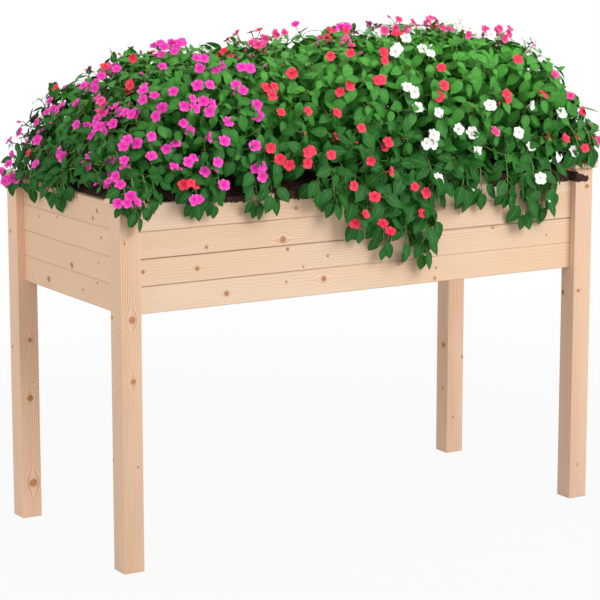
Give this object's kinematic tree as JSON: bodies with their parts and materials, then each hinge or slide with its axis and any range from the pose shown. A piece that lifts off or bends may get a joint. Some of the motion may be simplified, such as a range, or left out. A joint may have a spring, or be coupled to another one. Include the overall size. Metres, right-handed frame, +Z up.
{
  "type": "planted raised bed",
  "caption": "Raised softwood planter box on square legs, filled with compost and planted with mounding busy lizzies in magenta, coral and white that trail over its front",
  "frame": {"origin": "on the floor, under the middle of the bed", "axes": "+X along the front to its right end as seen from the front, +Y from the front to the back, +Z up"},
  "size_m": [1.209, 0.6133, 1.0477],
  "materials": {
    "planed_softwood": "satin",
    "sawn_softwood": "matte",
    "liner_fabric": "matte",
    "compost": "matte",
    "stems": "satin",
    "foliage": "satin"
  },
  "bodies": {
    "root": {"leg_front_left": "planed_softwood", "leg_front_right": "planed_softwood", "leg_back_left": "planed_softwood", "leg_back_right": "planed_softwood", "cap_front_left": "planed_softwood", "cap_front_right": "planed_softwood", "cap_back_left": "planed_softwood", "cap_back_right": "planed_softwood", "board_front_1": "planed_softwood", "board_front_2": "planed_softwood", "board_front_3": "planed_softwood", "board_front_4": "planed_softwood", "board_right_1": "planed_softwood", "board_right_2": "planed_softwood", "board_right_3": "planed_softwood", "board_right_4": "planed_softwood", "board_back_1": "planed_softwood", "board_back_2": "planed_softwood", "board_back_3": "planed_softwood", "board_back_4": "planed_softwood", "board_left_1": "planed_softwood", "board_left_2": "planed_softwood", "board_left_3": "planed_softwood", "board_left_4": "planed_softwood", "ledger_front": "sawn_softwood", "ledger_back": "sawn_softwood", "slat_1": "sawn_softwood", "slat_2": "sawn_softwood", "slat_3": "sawn_softwood", "slat_4": "sawn_softwood", "slat_5": "sawn_softwood", "slat_6": "sawn_softwood", "slat_7": "sawn_softwood", "slat_8": "sawn_softwood", "slat_9": "sawn_softwood", "liner": "liner_fabric", "compost": "compost", "plant_front_1_stem": "stems", "plant_front_1_foliage": "foliage", "plant_front_2_stem": "stems", "plant_front_2_foliage": "foliage", "plant_front_3_stem": "stems", "plant_front_3_foliage": "foliage", "plant_front_4_stem": "stems", "plant_front_4_foliage": "foliage", "plant_front_5_stem": "stems", "plant_front_5_foliage": "foliage", "plant_back_1_stem": "stems", "plant_back_1_foliage": "foliage", "plant_back_2_stem": "stems", "plant_back_2_foliage": "foliage", "plant_back_3_stem": "stems", "plant_back_3_foliage": "foliage", "plant_back_4_stem": "stems", "plant_back_4_foliage": "foliage", "plant_back_5_stem": "stems", "plant_back_5_foliage": "foliage", "plant_back_6_stem": "stems", "plant_back_6_foliage": "foliage"}
  },
  "joints": []
}
